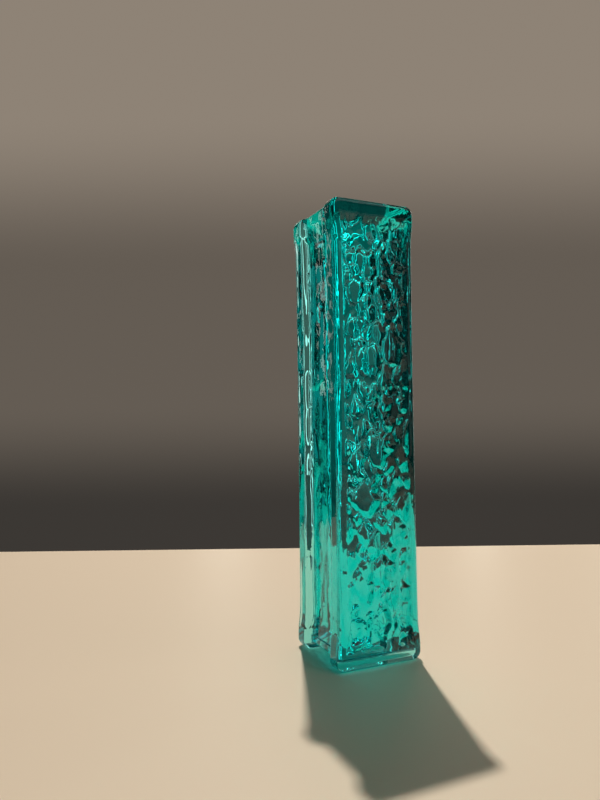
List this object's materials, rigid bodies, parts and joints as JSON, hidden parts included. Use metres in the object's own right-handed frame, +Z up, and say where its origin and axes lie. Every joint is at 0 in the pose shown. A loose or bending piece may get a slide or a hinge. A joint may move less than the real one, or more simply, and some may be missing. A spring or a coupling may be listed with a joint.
{
  "type": "glass block",
  "caption": "Narrow solid glass block for masonry, with rippled faces, flared ends, a channel down the left side and across the lower end, and a plain upper end and right side.",
  "frame": {"origin": "middle of the footprint, on the surface that the block stands on", "axes": "+Z up along the block's length, X across the rippled faces, Y through the thickness with the front face towards -Y"},
  "size_m": [0.05, 0.05, 0.24],
  "materials": {
    "glass": "clear teal glass coloured right through, with smooth edges and rippled faces"
  },
  "bodies": {
    "root": {"glass_block": "glass"}
  },
  "joints": []
}
